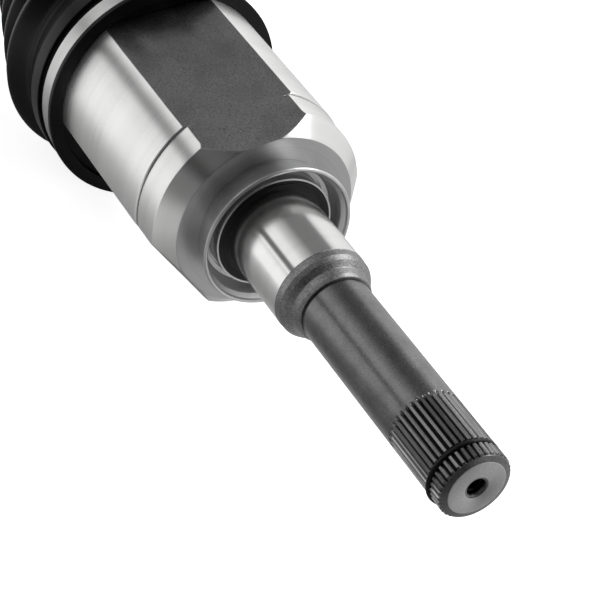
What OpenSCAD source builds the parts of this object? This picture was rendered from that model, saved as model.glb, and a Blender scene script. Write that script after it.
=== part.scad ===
// Drive axle shaft with a plunging tripod joint, a bar shaft and a fixed ball joint.
// Everything is turned about the X axis. +X runs from the inner stub to the wheel.
// The origin is on the axis, half way along the ground land for the oil seal.

/* [Inner stub] */
// Radius over the teeth of the inner stub
stub_r = 14; // [12:0.5:16]
// Number of teeth on the inner stub
stub_teeth = 36; // [24:1:40]
// Depth of the stub teeth
stub_tooth = 1.1; // [0.8:0.1:1.4]
// Length of the splined end
stub_spline_len = 33.4; // [28:0.2:45]
// Distance from the stub's end to its circlip groove
stub_clip_at = 7.2; // [5:0.2:12]
// Wire diameter of the stub's circlip
stub_clip_wire = 2; // [1.6:0.1:2.4]
// Plain shaft between the spline and the collar
stub_shaft_len = 65.2; // [40:0.2:90]
// Length of the forged collar
collar_len = 11.6; // [9:0.2:16]
// Radius of the ground seal land
land_r = 19.1; // [17:0.1:21]
// Length of ground land outside the dust cover
land_len = 34; // [26:0.5:45]

/* [Inner housing] */
// Ground land hidden under the dust cover, up to the nose
land_cover_len = 11.6; // [10:0.2:15]
// How far the flat nose's edge lies inside the housing's radius
nose_inset = 7.5; // [6.4:0.1:9.4]
// Length of the turned cone behind the nose
cone_len = 7.2; // [5:0.2:9]
// Step from the short band behind the cone up to the housing
band_step = 0.8; // [0.4:0.1:1.9]
// Length of the short band
band_len = 13.6; // [8:0.2:18]
// Outer radius of the housing
body_r = 44.4; // [44:0.1:47]
// Length of the housing behind the band
body_len = 91.4; // [88:0.2:110]
// Depth of the three forged flats below the housing's radius
flat_depth = 6.2; // [4.9:0.1:6.8]
// Drop of the flats at the nose
flat_drop = 2; // [0.5:0.1:2.5]
// Wall between a flat and the middle bore
flat_wall = 11.7; // [10.7:0.1:11.7]
// Wall over the roof of a roller track
roof_wall = 5.4; // [4.4:0.1:5.8]
// Depth of the cavity from the mouth
cavity_depth = 78; // [77:0.5:85]
// Side clearance between a roller and its track
track_gap = 0.8; // [0.75:0.05:1]

/* [Tripod] */
// Depth of the spider's centre inside the mouth at rest
spider_depth = 32; // [31:0.5:34]
// Distance from the spider's hub to a roller
hub_gap = 2.5; // [1.5:0.1:3.5]
// Length of the spider's hub
hub_len = 26; // [24:0.5:27]
// Radius of a trunnion
trunnion_r = 10.6; // [9.5:0.1:10.8]
// Distance from a trunnion's tip to the roof of its track
tip_gap = 3; // [2.4:0.1:3.4]
// Length of a trunnion beyond its snap ring
tip_edge = 1.6; // [1.2:0.1:2]
// Outer radius of a roller
roller_r = 16; // [15.6:0.1:16.2]
// Width of a roller
roller_w = 13; // [12:0.2:13.4]
// Diameter of a needle
needle_d = 2.48; // [2.2:0.02:2.5]
// Number of needles on a trunnion
needle_count = 28; // [20:1:28]
// Thickness of a needle retaining washer
washer_t = 0.8; // [0.6:0.1:1]
// Thickness of a trunnion's snap ring
snap_t = 0.9; // [0.7:0.1:1.1]

/* [Bar shaft] */
// Distance between the centres of the two joints
joint_centres = 370; // [300:1:520]
// Radius of the bar
bar_r = 12; // [11.8:0.1:12.4]
// Radius over the teeth at the ends of the bar
bar_spline_r = 11.2; // [10.8:0.1:11.4]
// Number of teeth at the ends of the bar
bar_teeth = 26; // [20:1:30]
// Depth of the bar teeth
bar_tooth = 0.9; // [0.7:0.1:1.1]
// Thickness of the snap rings on the bar
bar_clip_t = 2; // [1.6:0.1:2.2]

/* [Outer joint] */
// Radius of a ball
ball_r = 8.73; // [8.3:0.01:8.9]
// Distance of the balls from the axis
ball_at = 30; // [29.5:0.1:30.5]
// Outer radius of the bell
bell_r = 43.5; // [42.5:0.1:45]
// Distance from the joint's centre to the bell's mouth
bell_mouth = 22; // [20:0.5:23]
// Outer radius of the cage
cage_r = 32.5; // [32:0.1:33]
// Thickness of the cage
cage_t = 4.5; // [4.2:0.1:4.8]
// Length of the cage
cage_len = 29; // [26:0.5:30]
// Length of the inner race
race_len = 22; // [20:0.5:23]
// Distance from the joint's centre to the shoulder for the wheel hub
shoulder_at = 42; // [41:0.5:50]
// Radius of the shoulder for the wheel hub
shoulder_r = 26; // [24:0.5:28]
// Radius over the teeth of the outer stub
hub_spline_r = 13.8; // [13:0.1:15]
// Number of teeth on the outer stub
hub_teeth = 28; // [24:1:36]
// Depth of the outer stub's teeth
hub_tooth = 1.1; // [0.8:0.1:1.3]
// Length of the outer stub's spline
hub_spline_len = 40; // [34:0.5:50]
// Radius of the threaded end
thread_r = 12; // [11:0.5:12]
// Thread pitch
thread_pitch = 1.5; // [1.25:0.25:2]
// Length of the threaded end
thread_len = 24; // [18:0.5:30]

/* [Boots] */
// Height of the inner boot's lip and shoulder over the housing
lip_rise = 5.5; // [5:0.1:7]
// Width of the inner boot's front lip
lip_w = 2.4; // [1.6:0.2:3]
// Width of the large clamp bands
clamp_w = 7.6; // [6:0.2:8.4]
// Thickness of the clamp bands
clamp_t = 0.9; // [0.6:0.1:1.2]
// Width of the inner boot's shoulder
shoulder_w = 7; // [5:0.2:8]
// How far the inner boot reaches over the housing's mouth
boot_overlap = 20.7; // [19:0.1:23]
// Height of the inner boot's first and largest fold over its lip
inner_fold_rise = 3.1; // [2:0.1:5]
// Number of folds of the inner boot
inner_folds = 5; // [4:1:6]
// Spacing of the inner boot's folds
inner_pitch = 17.5; // [15:0.1:20]
// Height of the outer boot's first and largest fold over the bell
outer_fold_rise = 1.5; // [0.5:0.1:3]
// Number of folds of the outer boot
outer_folds = 5; // [4:1:6]
// Spacing of the outer boot's folds
outer_pitch = 13; // [12:0.1:15]
// Wall thickness of the boots, measured along a radius
boot_wall = 2.6; // [2:0.1:3]
// Length of the boots' small ends
small_end_len = 15; // [12:0.5:18]

/* [Hidden] */
$fn = 96;

// Clearances
run = 0.05;        // running fit, on the radius
seat = 0.1;        // between pieces that are pushed together
apart = 0.3;       // between soft parts and pieces of another body
spline_chamfer = 0.8;
land_relief = 0.3; // how far the covered part of the land lies below the ground part
core = 0.3;        // how far a shaft's plain end lies below the roots of its teeth

// Radii of the housing
nose_r = body_r - nose_inset;
band_r = body_r - band_step;
flat_h = body_r - flat_depth;
bore_r = flat_h - flat_wall;
roof_r = body_r - roof_wall;
cover_in_r = land_r + 5.4;   // inner edge of the dust cover's flange, round the seal's case

// Places along the axis
x_collar1 = -land_len / 2;
x_collar0 = x_collar1 - collar_len;
x_spline1 = x_collar0 - stub_shaft_len;
x_tip = x_spline1 - stub_spline_len;
x_land1 = x_collar1 + land_len;
x_nose = x_land1 + land_cover_len;
x_band0 = x_nose + cone_len;
x_band1 = x_band0 + band_len;
x_mouth = x_band1 + body_len;
x_floor = x_mouth - cavity_depth;
x_spider = x_mouth - spider_depth;
x_ball = x_spider + joint_centres;
x_bell0 = x_ball - bell_mouth;
x_shoulder = x_ball + shoulder_at;
x_thread = x_shoulder + hub_spline_len;
x_end = x_thread + thread_len;
track_run = 20.5;  // how far the ball tracks run past the centre of the outer joint
back_len = 28;     // length of the bell's rounded back

flat_slope_len = cone_len + 2;

// Tripod
trunnion_tip = roof_r - tip_gap;
snap_at = trunnion_tip - tip_edge - snap_t;
washer_at = snap_at - seat - washer_t;
roller_at = washer_at - seat - roller_w / 2;
hub_r = roller_at - roller_w / 2 - hub_gap;
track_half = roller_r + track_gap;
arms = [0, 120, 240];
flats = [60, 180, 300];
needle_r = needle_d / 2;
needle_pitch_r = trunnion_r + 0.03 + needle_r;
roller_bore_r = needle_pitch_r + needle_r + run;
boss_r = 13.2;
boss_top = roller_at - roller_w / 2 - 0.2;

// Boots and clamps
lip_r = body_r + lip_rise;
inner_fold_r = lip_r + inner_fold_rise;
outer_fold_r = bell_r + outer_fold_rise;
clamp_seat_r = lip_r - 1.7;
groove_w = 3;
adapter_r = body_r + 1.2;
ear_turn = 215;    // where the clamps' ears sit, counted from +Y towards +Z
x_lip0 = x_mouth - boot_overlap;
x_clamp0 = x_lip0 + lip_w;
x_sh0 = x_clamp0 + clamp_w + groove_w;
x_sh1 = x_sh0 + shoulder_w;
inner_neck = 10;   // plain neck between the shoulder and the first fold
inner_fold_h = 9;
inner_last_r = 30; // crest of the inner boot's last fold
x_small0 = x_sh1 + inner_neck + inner_folds * inner_pitch + 6;
x_small1 = x_small0 + small_end_len;
small_r = bar_r + apart + boot_wall;
small_clamp_w = 6.4;
outer_fold_h = 8;
outer_last_r = 26; // crest of the outer boot's last fold
bell_boot_r = bell_r + seat + boot_wall;
x_out_big1 = x_bell0 + 15;
x_out_small1 = x_bell0 - 6 - outer_folds * outer_pitch;
x_out_small0 = x_out_small1 - small_end_len;

// Solid of revolution about X. pts holds [x, r] pairs.
module revolve(pts) {
    rotate([0, 90, 0]) rotate_extrude() polygon([for (p = pts) [p[1], p[0]]]);
}

// Cylinder about X from x0 to x1
module rod(x0, x1, r) {
    translate([x0, 0, 0]) rotate([0, 90, 0]) cylinder(h = x1 - x0, r = r);
}

// Ring about X from x0 to x1
module ring(x0, x1, r_out, r_in) {
    revolve([[x0, r_in], [x0, r_out], [x1, r_out], [x1, r_in]]);
}

// Outline of a splined shaft: four corners for each tooth
function spline_outline(n, r_tip, h) = [
    for (i = [0 : n - 1], k = [0 : 3])
        let (a = (i + [-0.32, -0.19, 0.19, 0.32][k]) * 360 / n,
             r = (k == 0 || k == 3) ? r_tip - h : r_tip)
        [r * cos(a), r * sin(a)]];

// Splined shaft about X with a chamfer at each end
module spline(x0, x1, n, r_tip, h, chamfer) {
    intersection() {
        translate([x0, 0, 0]) rotate([0, 90, 0])
            linear_extrude(height = x1 - x0) polygon(spline_outline(n, r_tip, h));
        revolve([[x0, 0], [x0, r_tip - chamfer], [x0 + chamfer, r_tip + 0.2],
                 [x1 - chamfer, r_tip + 0.2], [x1, r_tip - chamfer], [x1, 0]]);
    }
}

// Splined hole about X
module spline_hole(x0, x1, n, r_tip, h) {
    translate([x0, 0, 0]) rotate([0, 90, 0])
        linear_extrude(height = x1 - x0) polygon(spline_outline(n, r_tip + run, h));
}

// Snap ring about X, cut open at its top
module snap_ring(x0, t, r_out, r_in, gap) {
    difference() {
        ring(x0, x0 + t, r_out, r_in);
        translate([x0 - 1, -gap / 2, 0]) cube([t + 2, gap, r_out + 1]);
    }
}

// Places its children on each arm of the tripod, with Z pointing out along the arm
module on_arm(a) {
    translate([x_spider, 0, 0]) rotate([a, 0, 0]) rotate([-90, 0, 0]) children();
}

// Clamp band with the crimped ear that tightens it
module clamp(x0, w, r_in, turn) {
    ear_w = 9;
    ear_h = 4.6;
    ear_t = 1.1;
    difference() {
        union() {
            ring(x0, x0 + w, r_in + clamp_t, r_in);
            rotate([turn, 0, 0]) translate([x0, 0, 0]) rotate([90, 0, 90])
                linear_extrude(height = w) polygon([
                    [r_in + 0.4, -ear_w / 2], [r_in + ear_h - 1.4, -ear_w / 2 + 0.6],
                    [r_in + ear_h, -ear_w / 2 + 2], [r_in + ear_h, ear_w / 2 - 2],
                    [r_in + ear_h - 1.4, ear_w / 2 - 0.6], [r_in + 0.4, ear_w / 2]]);
        }
        rotate([turn, 0, 0]) translate([x0 - 1, 0, 0]) rotate([90, 0, 90])
            linear_extrude(height = w + 2) polygon([
                [r_in + clamp_t, -ear_w / 2 + ear_t + 0.6],
                [r_in + ear_h - ear_t, -ear_w / 2 + ear_t + 1.4],
                [r_in + ear_h - ear_t, ear_w / 2 - ear_t - 1.4],
                [r_in + clamp_t, ear_w / 2 - ear_t - 0.6]]);
        rod(x0 - 1, x0 + w + 1, r_in);
    }
}

// Forged tulip, seal land and splined stub in one piece
module inner_housing() color("gainsboro") difference() {
    union() {
        revolve([[x_spline1 - 3, 0], [x_spline1 - 3, stub_r - stub_tooth - core],
                 [x_spline1 - 1.6, stub_r - stub_tooth - core], [x_spline1 + 0.4, stub_r - run],
                 [x_collar0 - 0.8, stub_r - run], [x_collar0 - 0.8, stub_r - 0.4],
                 [x_collar0, stub_r - 0.4], [x_collar0, stub_r + 0.6],
                 [x_collar0 + 2, stub_r + 0.9], [x_collar0 + 4.2, stub_r + 2],
                 [x_collar0 + 6, land_r - 1.5], [x_collar0 + 7.3, land_r - 0.5],
                 [x_collar0 + 8.8, land_r - 0.1], [x_collar1, land_r - 0.05],
                 [x_collar1, land_r], [x_land1, land_r], [x_land1, land_r - land_relief],
                 [x_nose, land_r - land_relief], [x_nose, nose_r],
                 [x_band0, band_r], [x_band1, band_r], [x_band1, body_r],
                 [x_mouth - 1, body_r], [x_mouth, body_r - 1], [x_mouth, 0]]);
        spline(x_tip, x_spline1 + 1.4, stub_teeth, stub_r, stub_tooth, spline_chamfer);
    }
    // Chamfer and centre hole at the stub's end
    revolve([[x_tip - 1, stub_r + 2], [x_tip - 1, 10.9], [x_tip, 10.9], [x_tip + 0.7, stub_r - 0.7],
             [x_tip + 0.7, stub_r + 2]]);
    revolve([[x_tip - 1, 0], [x_tip - 1, 4.6], [x_tip + 3, 2.4], [x_tip + 14, 2.4], [x_tip + 15.4, 0]]);
    // Groove for the circlip
    ring(x_tip + stub_clip_at, x_tip + stub_clip_at + stub_clip_wire + 0.3,
         stub_r + 1, stub_r - stub_clip_wire + 0.2);
    // Three forged flats
    for (a = flats) rotate([a, 0, 0])
        linear_extrude(height = 2 * body_r, center = true) polygon([
            [x_nose - 1, flat_h - flat_drop * (1 + 1 / flat_slope_len)],
            [x_nose + flat_slope_len, flat_h],
            [x_mouth + 1, flat_h], [x_mouth + 1, body_r + 1], [x_nose - 1, body_r + 1]]);
    // Middle bore with a flared mouth, and three roller tracks
    rod(x_floor, x_mouth + 1, bore_r);
    revolve([[x_mouth - 9, 0], [x_mouth - 9, bore_r], [x_mouth + 1, bore_r + 4.2], [x_mouth + 1, 0]]);
    for (a = arms) intersection() {
        rod(x_floor, x_mouth + 1, roof_r);
        rotate([a, 0, 0]) translate([x_floor - 1, 0, -track_half])
            cube([cavity_depth + 3, roof_r + 1, 2 * track_half]);
    }
}

// Round wire ring that holds the stub in the side gear
module stub_circlip() color("dimgray") {
    r_wire = stub_clip_wire / 2;
    difference() {
        translate([x_tip + stub_clip_at + r_wire + 0.15, 0, 0]) rotate([0, 90, 0])
            rotate_extrude() translate([stub_r + 0.4 - r_wire, 0]) circle(r = r_wire, $fn = 24);
        rotate([150, 0, 0]) translate([x_tip, -1.6, 0]) cube([20, 3.2, stub_r + 3]);
    }
}

// Pressed steel dust cover with a rolled rim, seated on the nose
module dust_cover() color("silver") {
    x_rim = x_nose - 10.6;
    r_rim = cover_in_r + 5.5;
    union() {
        revolve([[x_nose, cover_in_r], [x_nose, cover_in_r + 3.1], [x_nose - 4.8, cover_in_r + 4],
                 [x_nose - 8, cover_in_r + 5.2], [x_rim, r_rim + 0.4], [x_rim - 0.5, r_rim - 0.6],
                 [x_nose - 8, cover_in_r + 4], [x_nose - 4.8, cover_in_r + 2.8],
                 [x_nose - 1.2, cover_in_r + 2], [x_nose - 1.2, cover_in_r]]);
        translate([x_rim, 0, 0]) rotate([0, 90, 0])
            rotate_extrude() translate([r_rim, 0]) circle(r = 0.9, $fn = 24);
    }
}

// Thin steel case round the seal
module seal_case() color("lightgray")
    revolve([[x_nose, land_r + 4.1], [x_nose, cover_in_r - seat], [x_nose - 1, cover_in_r - seat],
             [x_nose - 1, land_r + 4.9], [x_nose - 7.8, land_r + 4.9], [x_nose - 7.8, land_r + 4.1]]);

// Rubber seal that closes the dust cover on the land
module seal_lip() color("black")
    revolve([[x_nose - 0.4, land_r + 0.6], [x_nose - 0.4, land_r + 4.1], [x_nose - 7.4, land_r + 4.1],
             [x_nose - 7.8, land_r + 3.6], [x_nose - 6.6, land_r + 1.6],
             [x_nose - 7.4, land_r - land_relief + run], [x_nose - 6.4, land_r - land_relief + run]]);

// Tri-lobe insert that makes the housing round under the boot
module boot_adapter() color([0.08, 0.08, 0.08]) {
    x0 = x_clamp0 + seat;
    difference() {
        rod(x0, x_mouth - 0.4, adapter_r);
        intersection() {
            rod(x0 - 1, x_mouth, body_r + run);
            linear_extrude_x(x0 - 1, x_mouth) polygon(tri_flat(flat_h + seat));
        }
    }
}

// Triangle with sides at distance h from the axis, facing the flats
function tri_flat(h) = [for (a = arms) [2 * h * cos(a), 2 * h * sin(a)]];

// Extrusion along X of an outline drawn in the YZ plane
module linear_extrude_x(x0, x1) {
    translate([x0, 0, 0]) rotate([90, 0, 90]) linear_extrude(height = x1 - x0) children();
}

// Radius of a bellows after t folds. Its n crests go evenly from r_first to r_last.
function fold_r(t, n, r_first, r_last, depth) =
    r_first + (r_last - r_first) * (t - 0.5) / (n - 1) - depth * (1 + cos(360 * t)) / 2;

// Outer profile of the folds: eight points for each fold
function folds(x0, pitch, n, r_first, r_last, depth) = [
    for (i = [0 : n * 8]) let (t = i / 8) [x0 + pitch * t, fold_r(t, n, r_first, r_last, depth)]];

// The same profile moved inwards by a wall, in the opposite order
function inwards(pts, wall) = [for (i = [len(pts) - 1 : -1 : 0]) [pts[i][0], pts[i][1] - wall]];

// Bellows boot of the inner joint
module inner_boot() color([0.1, 0.1, 0.1]) {
    big = [[x_lip0, lip_r - 0.5], [x_lip0 + 0.5, lip_r], [x_clamp0, lip_r],
           [x_clamp0, clamp_seat_r], [x_sh0, clamp_seat_r], [x_sh0, lip_r], [x_sh1, lip_r]];
    bellows = concat([[x_sh1 + 2, adapter_r + 1.4]],
        folds(x_sh1 + inner_neck, inner_pitch, inner_folds, inner_fold_r, inner_last_r, inner_fold_h));
    small = [[x_small0, small_r + 0.8], [x_small0 + 3.6, small_r + 0.8], [x_small0 + 3.6, small_r],
             [x_small0 + 3.6 + small_clamp_w + 0.4, small_r],
             [x_small0 + 3.6 + small_clamp_w + 0.4, small_r + 0.8], [x_small1, small_r + 0.8],
             [x_small1, bar_r + apart], [x_small0 + 3, bar_r + apart]];
    seat_in = [[x_mouth + 1.2, adapter_r + seat], [x_clamp0, adapter_r + seat],
               [x_clamp0, body_r + seat], [x_lip0, body_r + seat]];
    revolve(concat(big, bellows, small, inwards(bellows, boot_wall), seat_in));
}

module inner_boot_large_clamp() color("silver")
    clamp(x_clamp0 + seat, clamp_w, clamp_seat_r + run, ear_turn);

module inner_boot_small_clamp() color("silver")
    clamp(x_small0 + 3.8, small_clamp_w, small_r + seat, ear_turn);

// Tripod spider
module spider() color("darkgray") difference() {
    union() {
        revolve([[x_spider - hub_len / 2, 0], [x_spider - hub_len / 2, hub_r - 2],
                 [x_spider - hub_len / 2 + 2, hub_r], [x_spider + hub_len / 2 - 2, hub_r],
                 [x_spider + hub_len / 2, hub_r - 2], [x_spider + hub_len / 2, 0]]);
        for (a = arms) on_arm(a) {
            cylinder(h = boss_top, r = min(boss_r, hub_len / 2));
            cylinder(h = trunnion_tip - 0.6, r = trunnion_r);
            translate([0, 0, trunnion_tip - 0.6]) cylinder(h = 0.6, r1 = trunnion_r, r2 = trunnion_r - 0.6);
        }
    }
    spline_hole(x_spider - hub_len, x_spider + hub_len, bar_teeth, bar_spline_r, bar_tooth);
    for (a = arms) on_arm(a) difference() {
        translate([0, 0, snap_at - run]) cylinder(h = snap_t + 2 * run, r = trunnion_r + 1);
        cylinder(h = trunnion_tip + 1, r = trunnion_r - 1);
    }
}

// Barrel-shaped roller on one arm
module roller(a) color("gainsboro") on_arm(a) translate([0, 0, roller_at]) difference() {
    intersection() {
        sphere(r = roller_r);
        cylinder(h = roller_w, r = roller_r + 1, center = true);
    }
    cylinder(h = roller_w + 2, r = roller_bore_r, center = true);
}

module roller_a() roller(arms[0]);
module roller_b() roller(arms[1]);
module roller_c() roller(arms[2]);

// Ring of needles between one trunnion and its roller
module needles(a) color("silver") on_arm(a)
    for (i = [0 : needle_count - 1]) rotate([0, 0, i * 360 / needle_count])
        translate([needle_pitch_r, 0, boss_top + 0.15])
            cylinder(h = roller_w - 0.6, r = needle_r, $fn = 24);

module needles_a() needles(arms[0]);
module needles_b() needles(arms[1]);
module needles_c() needles(arms[2]);

// Washers that keep the needles in
module needle_washers() color("silver")
    for (a = arms) on_arm(a) translate([0, 0, washer_at]) difference() {
        cylinder(h = washer_t, r = roller_bore_r + 0.9);
        translate([0, 0, -1]) cylinder(h = washer_t + 2, r = trunnion_r + run);
    }

// Snap rings at the tips of the trunnions
module trunnion_snap_rings() color("dimgray")
    for (a = arms) on_arm(a) translate([0, 0, snap_at]) difference() {
        cylinder(h = snap_t, r = trunnion_r + 1.4);
        translate([0, 0, -1]) cylinder(h = snap_t + 2, r = trunnion_r - 1 + run);
        translate([0, -2, -1]) cube([trunnion_r + 3, 4, snap_t + 2]);
    }

// Two snap rings that hold the spider on the bar
module spider_snap_rings() color("dimgray")
    for (x = [x_spider - hub_len / 2 - seat - bar_clip_t, x_spider + hub_len / 2 + seat])
        snap_ring(x, bar_clip_t, bar_spline_r + 2.2, bar_spline_r - 1.3, 6);

// Groove for a snap ring of the bar
module bar_groove(x) ring(x - run, x + bar_clip_t + run, bar_spline_r + 2, bar_spline_r - 1.4);

// Bar that joins the two joints
module bar_shaft() color([0.2, 0.2, 0.21]) {
    x0 = x_spider - hub_len / 2 - bar_clip_t - 3;
    x1 = x_ball + race_len / 2 + bar_clip_t + 3;
    x_step0 = x_spider + hub_len / 2 + bar_clip_t + 4;
    x_step1 = x_ball - race_len / 2 - seat;
    difference() {
        union() {
            spline(x0, x_step0 + 1, bar_teeth, bar_spline_r, bar_tooth, spline_chamfer);
            revolve([[x_step0 - 3, 0], [x_step0 - 3, bar_spline_r - bar_tooth - core],
                     [x_step0 - 1.7, bar_spline_r - bar_tooth - core], [x_step0, bar_spline_r - run],
                     [x_step0 + 24, bar_spline_r - run], [x_step0 + 32, bar_r], [x_step1 - 1, bar_r],
                     [x_step1, bar_r - 0.5], [x_step1, 0]]);
            spline(x_step1 - 3, x1, bar_teeth, bar_spline_r, bar_tooth, spline_chamfer);
        }
        bar_groove(x_spider - hub_len / 2 - seat - bar_clip_t);
        bar_groove(x_spider + hub_len / 2 + seat);
        bar_groove(x_ball + race_len / 2 + seat);
    }
}

// Path that a ball follows, as a bent round groove. Balls on the hinge line run in
// a plane through the axis, and the others run about the hinge line itself.
module ball_path(phi, r) {
    if (abs(sin(phi - 90)) < 0.01)
        rotate([90, 0, 0]) rotate_extrude() translate([ball_at, 0]) circle(r = r, $fn = 48);
    else
        translate([0, 0, ball_at * sin(phi)]) rotate_extrude()
            translate([ball_at * abs(cos(phi)), 0]) circle(r = r, $fn = 48);
}

// Angles of the balls in the YZ plane, counted from +Y
ball_angles = [30, 90, 150, 210, 270, 330];

// Middle race of the outer joint
module inner_race() color("darkgray") translate([x_ball, 0, 0]) difference() {
    intersection() {
        sphere(r = cage_r - cage_t - run);
        rod(-race_len / 2, race_len / 2, cage_r);
    }
    spline_hole(-race_len, race_len, bar_teeth, bar_spline_r, bar_tooth);
    ball_path(30, ball_r + run);
    ball_path(210, ball_r + run);
    ball_path(90, ball_r + run);
}

module inner_race_snap_ring() color("dimgray")
    snap_ring(x_ball + race_len / 2 + seat, bar_clip_t, bar_spline_r + 2, bar_spline_r - 1.3, 6);

// Cage with one window for each ball
module ball_cage() color("silver") translate([x_ball, 0, 0]) difference() {
    window_gap = 0.9;
    intersection() {
        sphere(r = cage_r);
        rod(-cage_len / 2, cage_len / 2, cage_r + 1);
    }
    sphere(r = cage_r - cage_t);
    for (a = ball_angles) rotate([a, 0, 0])
        translate([-ball_r - run, 10, -ball_r - window_gap])
            cube([2 * (ball_r + run), cage_r, 2 * (ball_r + window_gap)]);
}

module balls() color("gainsboro") translate([x_ball, 0, 0])
    for (a = ball_angles) rotate([a, 0, 0]) translate([0, ball_at, 0]) sphere(r = ball_r);

// Turned bell with its round cavity, from the boot's seat to the shoulder
module bell() {
    translate([x_ball, 0, 0]) rotate([0, 90, 0]) rotate_extrude() difference() {
        polygon([[0, -bell_mouth], [bell_r - 1, -bell_mouth], [bell_r, 1 - bell_mouth],
                 [bell_r, shoulder_at - back_len], [bell_r - 3, shoulder_at - back_len + 8],
                 [bell_r - 12, shoulder_at - 10], [shoulder_r + 0.6, shoulder_at - 3],
                 [shoulder_r, shoulder_at - 2.4], [shoulder_r, shoulder_at],
                 [hub_spline_r + 0.6, shoulder_at], [hub_spline_r + 0.6, shoulder_at - 0.8],
                 [hub_spline_r - hub_tooth - 0.2, shoulder_at - 0.8],
                 [hub_spline_r - hub_tooth - 0.2, shoulder_at + 3],
                 [0, shoulder_at + 3]]);
        circle(r = cage_r + run);
        polygon([[0, -bell_mouth - 1], [cage_r + 5.5, -bell_mouth - 1], [cage_r - 3.4, -14], [0, -14]]);
    }
}

// Bell with the outer stub, its spline and its thread
module outer_race() color("gainsboro") difference() {
    union() {
        bell();
        spline(x_shoulder + 2, x_thread - 1, hub_teeth, hub_spline_r, hub_tooth, spline_chamfer);
        revolve(concat([[x_thread - 2, 0], [x_thread - 2, thread_r - 1.1], [x_thread + 2, thread_r - 1.1]],
            [for (i = [0 : floor((thread_len - 5) / thread_pitch) - 1], k = [0 : 2])
                [x_thread + 2.2 + (i + [0, 0.42, 0.58][k]) * thread_pitch, thread_r - [0.9, 0, 0][k]]],
            [[x_end - 1.4, thread_r - 1.1], [x_end - 0.6, thread_r - 1.4], [x_end, thread_r - 2],
             [x_end, 0]]));
    }
    for (a = [30, 90, 210]) translate([x_ball, 0, 0]) intersection() {
        ball_path(a, ball_r + run);
        translate([-bell_r, -bell_r, -bell_r]) cube([bell_r + track_run, 2 * bell_r, 2 * bell_r]);
    }
    revolve([[x_end + 1, 0], [x_end + 1, 4.4], [x_end - 3, 2.2], [x_end - 9, 2.2], [x_end - 10.3, 0]]);
}

// Bellows boot of the outer joint
module outer_boot() color([0.1, 0.1, 0.1]) {
    bellows = folds(x_bell0 - 3, -outer_pitch, outer_folds, outer_fold_r, outer_last_r, outer_fold_h);
    big = [[x_out_big1, bell_r + seat], [x_out_big1, bell_boot_r + 1], [x_out_big1 - 3, bell_boot_r + 1],
           [x_out_big1 - 3, bell_boot_r], [x_out_big1 - 3.4 - clamp_w, bell_boot_r],
           [x_out_big1 - 3.4 - clamp_w, bell_boot_r + 1], [x_bell0 + 0.5, bell_boot_r + 1]];
    small = [[x_out_small1, small_r + 0.8], [x_out_small1 - 3.6, small_r + 0.8],
             [x_out_small1 - 3.6, small_r], [x_out_small1 - 4 - small_clamp_w, small_r],
             [x_out_small1 - 4 - small_clamp_w, small_r + 0.8], [x_out_small0, small_r + 0.8],
             [x_out_small0, bar_r + apart], [x_out_small1 - 3, bar_r + apart]];
    seat_in = [[x_bell0 - 1, bell_r + seat]];
    revolve(concat(big, bellows, small, inwards(bellows, boot_wall), seat_in));
}

module outer_boot_large_clamp() color("silver")
    clamp(x_out_big1 - 3.2 - clamp_w, clamp_w, bell_boot_r + run, ear_turn);

module outer_boot_small_clamp() color("silver")
    clamp(x_out_small1 - 3.8 - small_clamp_w, small_clamp_w, small_r + seat, ear_turn);

inner_housing();
stub_circlip();
dust_cover();
seal_case();
seal_lip();
boot_adapter();
inner_boot();
inner_boot_large_clamp();
inner_boot_small_clamp();
spider();
roller_a();
roller_b();
roller_c();
needles_a();
needles_b();
needles_c();
needle_washers();
trunnion_snap_rings();
spider_snap_rings();
bar_shaft();
inner_race();
inner_race_snap_ring();
ball_cage();
balls();
outer_race();
outer_boot();
outer_boot_large_clamp();
outer_boot_small_clamp();
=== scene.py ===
# %% [markdown]
# # A drive axle shaft
#
# A drive axle shaft carries an engine's torque from the gearbox to a front wheel. This one has a
# splined steel stub, a forged housing with three flats that holds a sliding tripod joint, a bar,
# and a ball joint at the wheel. Two black bellows boots keep the grease in.
# The CAD model already holds every real size and joint. Here each visible surface gets the shape
# and the finish that the making of the real piece leaves on it.

# %% Load the CAD model as the frame
import math

import bmesh
import bpy
import numpy as np
from mathutils import Matrix, Vector, noise


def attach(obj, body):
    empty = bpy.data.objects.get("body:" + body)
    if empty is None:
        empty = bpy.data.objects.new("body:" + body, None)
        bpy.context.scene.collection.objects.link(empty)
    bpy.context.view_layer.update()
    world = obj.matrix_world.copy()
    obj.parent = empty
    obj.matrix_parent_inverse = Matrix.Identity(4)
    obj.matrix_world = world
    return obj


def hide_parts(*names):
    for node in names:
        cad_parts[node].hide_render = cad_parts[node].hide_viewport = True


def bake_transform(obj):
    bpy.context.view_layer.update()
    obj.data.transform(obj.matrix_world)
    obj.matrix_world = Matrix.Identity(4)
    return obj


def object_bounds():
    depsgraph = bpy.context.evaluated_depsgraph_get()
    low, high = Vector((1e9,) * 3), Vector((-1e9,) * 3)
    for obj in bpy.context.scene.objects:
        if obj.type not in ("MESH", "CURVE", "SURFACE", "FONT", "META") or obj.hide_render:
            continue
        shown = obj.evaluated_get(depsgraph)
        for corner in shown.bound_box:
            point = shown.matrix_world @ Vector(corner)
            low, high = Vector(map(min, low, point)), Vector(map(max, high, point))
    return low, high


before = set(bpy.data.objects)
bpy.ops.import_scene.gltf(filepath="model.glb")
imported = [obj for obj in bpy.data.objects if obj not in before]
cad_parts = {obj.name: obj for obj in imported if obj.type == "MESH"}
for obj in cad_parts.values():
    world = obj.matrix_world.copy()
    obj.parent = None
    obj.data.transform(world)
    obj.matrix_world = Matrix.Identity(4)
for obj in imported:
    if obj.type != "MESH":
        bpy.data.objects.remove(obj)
cad_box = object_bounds()
MM = 0.001
print("CAD box, mm:", [[round(v / MM, 1) for v in corner] for corner in cad_box])

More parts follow.
